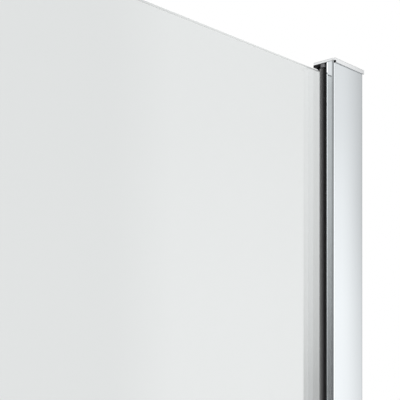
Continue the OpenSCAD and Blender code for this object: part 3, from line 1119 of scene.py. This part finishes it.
@dataclass
class Glazing(SubAssembly):
    """The glass sheet, its gasket and the blocks that carry and close it."""

    body: str = "screen"
    corner_r: float = 8 * MM
    arris: float = 0.06 * MM
    # What tells the sheet's edges and faces apart: an angle, then cosines
    rim_angle: float = math.radians(80)
    arris_cosines: tuple[float, float] = (0.05, 0.95)
    side_cosine: float = -0.5
    recess: float = 3 * MM
    lip_w: float = 3.9 * MM
    lip_r: float = 1.5 * MM
    lip_tip_r: float = 0.2 * MM
    step_r: float = 0.4 * MM
    front_r: float = 0.5 * MM
    heel_r: float = 0.3 * MM
    core_r: float = 1.7 * MM
    core_roundness: float = 0.9
    # How far outside the lip the painted sheen starts to fade in
    sheen_fade: float = 0.2 * MM

    def build(self) -> None:
        """Makes the glass and everything that holds it."""
        self.add(self.glass(), "glass_panel", "glass", GLASS, GLASS_EDGE, GLASS_ARRIS, GLASS_SIDE)
        glass_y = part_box("glass_panel")[0].y
        # The gasket's lip gets a painted sheen, paler towards the glass
        lip_sheen = PaintedSheenRubber("lip_painted_sheen_finish", BLACK_RUBBER.colour, BLACK_RUBBER.roughness,
                              lip_y=glass_y - self.lip_w - self.sheen_fade, glass_y=glass_y)
        self.add(self.gasket(), "glazing_gasket", "black_rubber", lip_sheen)
        for block in BLOCKS:
            self.add(block.form(), block.node, block.slot, block.finish)

    def glass(self) -> Form:
        """Toughened sheet with round free corners and a fine arris along every edge.

        Returns:
            The sheet's mesh.
        """
        low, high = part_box("glass_panel")
        corners = [Vector((low.x, low.y, low.z)), Vector((high.x, low.y, low.z)),
                   Vector((high.x, low.y, high.z)), Vector((low.x, low.y, high.z))]
        radii = [self.corner_r, 0.0, 0.0, self.corner_r]
        form = Form.section(corners, radii, Vector((0, high.y - low.y, 0)))
        rim = [edge for edge in form.mesh.edges if edge.calc_face_angle(0.0) > self.rim_angle
               and abs(edge.verts[0].co.y - edge.verts[1].co.y) < TOUCH]
        form.bevel(rim, self.arris, 1)
        form.mesh.normal_update()
        least, most = self.arris_cosines
        for face in form.mesh.faces:
            across = abs(face.normal.y)
            if across > most:
                face.material_index = GlassPart.FACE
            elif across > least:
                face.material_index = GlassPart.ARRIS
            elif min(face.normal.x, face.normal.z) < self.side_cosine:
                face.material_index = GlassPart.SIDE
            else:
                face.material_index = GlassPart.EDGE
        return form

    def gasket(self) -> Form:
        """Front gasket: a rounded lip beside the glass, a set-back half and a hollow core.

        Returns:
            The gasket's mesh.
        """
        low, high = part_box("glazing_gasket")
        glass_y = high.y - HAIRLINE
        recess_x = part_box("post_profile")[0].x + self.recess
        lip_y = high.y - self.lip_w
        z = low.z
        corners = [Vector((recess_x, low.y, z)), Vector((high.x, low.y, z)),
                   Vector((high.x, glass_y, z)), Vector((low.x, glass_y, z)),
                   Vector((low.x, lip_y, z)), Vector((recess_x, lip_y, z))]
        radii = [self.front_r, self.front_r, self.heel_r, self.lip_tip_r, self.lip_r, self.step_r]
        middle = Vector(((recess_x + high.x) / 2, (low.y + high.y) / 2, z))
        hollow = [middle + Vector((side_x * self.core_r, side_y * self.core_r, 0))
                  for side_x, side_y in ((-1, -1), (1, -1), (1, 1), (-1, 1))]
        return Form.section(corners, radii, Vector((0, 0, high.z - low.z)), hollow,
                            self.core_r * self.core_roundness)


@dataclass
class LowerSeal(SubAssembly):
    """The clear seal under the glass, and the plug in its free end."""

    body: str = "screen"
    wall: float = 1.2 * MM
    bulb_h: float = 6 * MM
    edge_r: float = 0.35 * MM

    def build(self) -> None:
        """Makes the seal and its plug."""
        self.add(self.seal(), "bottom_seal", "clear_plastic", SOFT_CLEAR)
        self.add_softened("seal_end_plug", "clear_plastic", SOFT_CLEAR, self.edge_r)

    def seal(self) -> Form:
        """A grip that pinches the glass, a hollow bulb under it and a wiping fin.

        Returns:
            The seal's mesh.
        """
        low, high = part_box("bottom_seal")
        glass_low, glass_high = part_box("glass_panel")
        front = glass_low.y - HAIRLINE
        rear = glass_high.y + HAIRLINE
        bed = glass_low.z - HAIRLINE
        root = glass_low.z - self.wall
        foot = root - self.bulb_h
        middle = (glass_low.y + glass_high.y) / 2
        half_fin = self.wall / 2
        half_bulb = (glass_high.y - glass_low.y) / 2
        points = [
            (middle - half_fin, low.z), (middle + half_fin, low.z),
            (middle + half_fin, foot), (middle + half_bulb, foot),
            (middle + half_bulb, root), (high.y, root), (high.y, high.z), (rear, high.z),
            (rear, bed), (front, bed), (front, high.z), (low.y, high.z), (low.y, root),
            (middle - half_bulb, root), (middle - half_bulb, foot), (middle - half_fin, foot),
        ]
        half_hollow = half_bulb - self.wall
        hollow = [(middle - half_hollow, foot + self.wall), (middle + half_hollow, foot + self.wall),
                  (middle + half_hollow, root), (middle - half_hollow, root)]
        return Form.section([Vector((low.x, y, z)) for y, z in points], [self.edge_r] * len(points),
                            Vector((high.x - low.x, 0, 0)),
                            [Vector((low.x, y, z)) for y, z in hollow], self.edge_r)


# Studio


@dataclass(frozen=True)
class Lamp:
    """A soft square lamp that lights the matt pieces and the floor."""

    name: str
    place: tuple[float, float, float]
    size: float
    power: float

    def hang(self, target: Vector) -> None:
        """Hangs the lamp, turned to the target and hidden from gloss and glass.

        Args:
            target: The point that it lights.
        """
        data = bpy.data.lights.new(self.name, "AREA")
        data.shape = "SQUARE"
        data.size = self.size
        data.energy = self.power
        made = bpy.data.objects.new(self.name, data)
        made.location = self.place
        made.rotation_mode = "QUATERNION"
        made.rotation_quaternion = (target - Vector(self.place)).to_track_quat("-Z", "Y")
        made.visible_glossy = False
        made.visible_transmission = False
        bpy.context.scene.collection.objects.link(made)


@dataclass(frozen=True)
class Card:
    """An upright soft box or card in the room, which polished faces mirror.

    It reaches from one heading to another, in degrees: 0 looks to the rear and 90 into
    the wall. Between two cards the level changes evenly.
    """

    name: str
    start: float
    end: float
    level: float


@dataclass(frozen=True)
class Band:
    """A stretch of headings with two soft sides, in degrees.

    Each side goes from the heading where the band's mask is 0 to the one where it is 1.
    """

    opens: tuple[float, float]
    closes: tuple[float, float]

    def mask(self, heading: Signal) -> Signal:
        """1 inside the band and 0 outside it."""
        return heading.rises(*self.opens) * heading.rises(*self.closes)


LAMPS = (
    Lamp("key_lamp", (-2.2, -2.6, 3.0), 2.4, 75.0),
    Lamp("back_lamp", (1.4, 2.6, 2.6), 2.0, 35.0),
)

CARDS = (
    Card("front soft box, left half", -180, -179, 0.86),
    Card("front left strip light", -176, -168, 1.9),
    Card("front left dark card", -163, -131, 0.31),
    Card("left gap", -127, -121, 1.05),
    Card("left dark card", -117, -74, 0.38),
    Card("rear left wall", -64, -50, 0.86),
    Card("rear left strip light", -42, -34, 1.5),
    Card("rear wall", -26, 30, 0.85),
    Card("rear right wall", 38, 55, 0.95),
    Card("right dark card", 58, 113, 0.38),
    Card("front right wall", 116, 126, 1.02),
    Card("front right bright wall", 130, 138, 1.08),
    Card("front right dark card", 144, 157, 0.45),
    Card("front right strip light", 159, 168, 2.2),
    Card("front soft box, right half", 171, 180, 0.86),
)

# How the room's left side and the rest of it darken, by the sine of the height looked at
LEFT_SIDE = Band((-117.0, -108.0), (-18.0, -30.0))
LEFT_LEVELS = ((-0.5, 0.30), (-0.25, 0.31), (-0.18, 0.41), (-0.1, 0.55), (0.0, 0.65),
               (0.08, 0.74), (0.22, 0.82), (0.27, 0.84), (0.29, 0.97), (0.5, 1.0))
RIGHT_LEVELS = ((-0.1, 1.0), (0.08, 0.92), (0.22, 0.82), (0.32, 0.79), (0.7, 1.0))
# The rear left wall with the corner beside it, which are darker still
CORNER = Band((-74.0, -68.0), (-44.0, -50.0))
CORNER_LEVELS = ((-0.5, 0.40), (-0.25, 0.42), (-0.18, 0.52), (-0.1, 0.66), (0.0, 0.76),
                 (0.08, 0.82), (0.22, 0.88), (0.27, 0.9), (0.29, 1.0))
# How much light the dark edge of the front right wall takes away
WALL_EDGE = Band((110.0, 114.0), (120.8, 117.2))
WALL_EDGE_DEPTHS = ((-0.5, 0.36), (-0.25, 0.4), (-0.1, 0.49), (0.08, 0.58), (0.22, 0.5))
# The soft grey card that shows through the glass, a little paler past its left side
THROUGH_CARD = Band((55.45, 55.7), (78.0, 62.0))
THROUGH_LEVELS = ((-0.5, 0.6), (-0.242, 0.65), (-0.18, 0.74), (-0.095, 0.82), (0.0, 0.87),
                  (0.08, 0.91), (0.22, 0.96), (0.32, 1.0), (0.4, 0.5), (1.0, 0.3))
PALER_FROM = (55.9, 56.4)
PALER_BY = 0.04

FULL_CIRCLE = 360.0
# Where a count of bounces passes from none to one
FIRST_BOUNCE = (0.4, 0.6)


def by_height(sine: Signal, levels: Levels) -> Signal:
    """A level that changes with the height of the direction looked in.

    Args:
        sine: The sine of the direction's rise.
        levels: Pairs of a sine and the level there, lowest first.

    Returns:
        The level.
    """
    return (sine * 0.5 + 0.5).ramp([(rise / 2 + 0.5, level) for rise, level in levels])


@dataclass
class Studio:
    """Floor, reflections, lamps and camera.

    The floor starts to fade at floor_fade from its middle, and is clear from floor_clear
    of its radius on. Its veil is how clear it is in the middle.
    """

    floor_r: float = 5.6
    floor_sides: int = 96
    floor_fade: float = 2.6
    floor_clear: float = 0.97
    floor_tone: float = 0.75
    floor_veil: float = 0.35
    fill: float = 0.6
    camera_place: tuple[float, float, float] = (-0.5440, -0.3083, 1.7621)
    camera_level: float = math.radians(90)
    camera_turn: float = math.radians(-45)
    camera_near: float = 0.01
    sensor: float = 36.0
    focal_px: float = 554.1
    photo_px: float = 400.0
    horizon_px: float = 245.8

    def build(self) -> None:
        """Builds the studio round the object."""
        self.floor()
        self.world()
        self.lamps()
        self.camera()
        bpy.context.scene.view_settings.view_transform = "Standard"

    def floor(self) -> None:
        """A plain pale round floor that keeps the object's shadow and fades out at its rim."""
        low, high = CAD_BOX
        middle = Vector(((low.x + high.x) / 2, (low.y + high.y) / 2, 0.0))
        mesh = bmesh.new()
        bmesh.ops.create_circle(mesh, cap_ends=True, segments=self.floor_sides, radius=self.floor_r,
                                matrix=Matrix.Translation(middle))
        data = bpy.data.meshes.new("floor")
        mesh.to_mesh(data)
        mesh.free()
        data.materials.append(self.floor_material(middle))
        made = bpy.data.objects.new("floor", data)
        bpy.context.scene.collection.objects.link(made)

    def floor_material(self, middle: Vector) -> bpy.types.Material:
        """A matt pale grey under a thin veil, which turns clear towards the rim.

        Args:
            middle: The floor's middle.

        Returns:
            The material.
        """
        made = bpy.data.materials.new("floor_finish")
        made.use_nodes = True
        graph = Graph(made.node_tree)
        offset = graph.node("ShaderNodeVectorMath", {"operation": "DISTANCE"},
                            {0: graph.place(), 1: middle})
        rim = graph.signal(offset, "Value").rises(self.floor_fade, self.floor_r * self.floor_clear)
        faded = self.floor_veil + (1 - self.floor_veil) * rim
        pale = (self.floor_tone,) * 3 + (1.0,)
        diffuse = graph.node("ShaderNodeBsdfDiffuse", inputs={"Color": pale})
        clear = graph.node("ShaderNodeBsdfTransparent")
        both = graph.node("ShaderNodeMixShader",
                          inputs={0: faded, 1: diffuse.outputs[0], 2: clear.outputs[0]})
        graph.node("ShaderNodeOutputMaterial", inputs={"Surface": both.outputs[0]})
        return made

    def world(self) -> None:
        """White behind the object, an even fill, and soft boxes and dark cards in the gloss."""
        world = bpy.data.worlds.new("studio")
        world.use_nodes = True
        bpy.context.scene.world = world
        graph = Graph(world.node_tree)
        path = graph.node("ShaderNodeLightPath")
        seen = (graph.signal(path, "Is Camera Ray") + graph.signal(path, "Is Transmission Ray")
                + graph.signal(path, "Is Glossy Ray")).clamped()
        bounced = graph.signal(path, "Glossy Depth").rises(*FIRST_BOUNCE)
        through = graph.signal(path, "Transmission Depth").rises(*FIRST_BOUNCE)
        x, y, z = graph.parts(graph.node("ShaderNodeTexCoord").outputs["Generated"])
        heading = x.angle(y) * math.degrees(1.0)
        behind = 1 + through * (self.backdrop(heading, z) - 1)
        shown = behind + bounced * (self.mirrored(heading, z) - behind)
        strength = self.fill + seen * (shown - self.fill)
        sky = graph.node("ShaderNodeBackground", inputs={"Color": (1, 1, 1, 1), "Strength": strength})
        graph.node("ShaderNodeOutputWorld", inputs={"Surface": sky.outputs[0]})

    def backdrop(self, heading: Signal, rise: Signal) -> Signal:
        """What shows through the glass: white, with a soft grey card behind the post.

        Args:
            heading: The direction round about, in degrees.
            rise: The sine of the direction's rise.

        Returns:
            The level in that direction.
        """
        paler = 1 + PALER_BY * heading.rises(*PALER_FROM)
        card = by_height(rise, THROUGH_LEVELS) * paler
        return 1 + THROUGH_CARD.mask(heading) * (card - 1)

    def mirrored(self, heading: Signal, rise: Signal) -> Signal:
        """What polished faces mirror: the cards, darkened by height where the room is.

        Args:
            heading: The direction round about, in degrees.
            rise: The sine of the direction's rise.

        Returns:
            The level in that direction.
        """
        stops = [(angle / FULL_CIRCLE + 0.5, card.level) for card in CARDS
                 for angle in (card.start, card.end)]
        around = (heading * (1 / FULL_CIRCLE) + 0.5).ramp(stops)
        wall_edge = 1 - WALL_EDGE.mask(heading) * by_height(rise, WALL_EDGE_DEPTHS)
        corner = 1 + CORNER.mask(heading) * (by_height(rise, CORNER_LEVELS) - 1)
        left = by_height(rise, LEFT_LEVELS)
        right = by_height(rise, RIGHT_LEVELS)
        return around * wall_edge * corner * (right + LEFT_SIDE.mask(heading) * (left - right))

    def lamps(self) -> None:
        """A large key lamp at the front left, and a weaker one behind on the right."""
        low, high = CAD_BOX
        for lamp in LAMPS:
            lamp.hang((low + high) / 2)

    def camera(self) -> None:
        """The level camera at the front left, near the upper corner."""
        data = bpy.data.cameras.new("camera")
        data.sensor_width = self.sensor
        data.lens = self.focal_px / self.photo_px * self.sensor
        data.shift_y = (self.horizon_px - self.photo_px / 2) / self.photo_px
        data.clip_start = self.camera_near
        made = bpy.data.objects.new("camera", data)
        made.location = self.camera_place
        made.rotation_euler = (self.camera_level, 0.0, self.camera_turn)
        bpy.context.scene.collection.objects.link(made)
        bpy.context.scene.camera = made


def main() -> None:
    """Builds the studio and every sub-assembly."""
    logging.basicConfig(level=logging.INFO, format="%(message)s")
    Studio().build()
    for assembly in (WallFixing(), Post(), Glazing(), LowerSeal()):
        assembly.build()


if __name__ == "__main__":
    main()
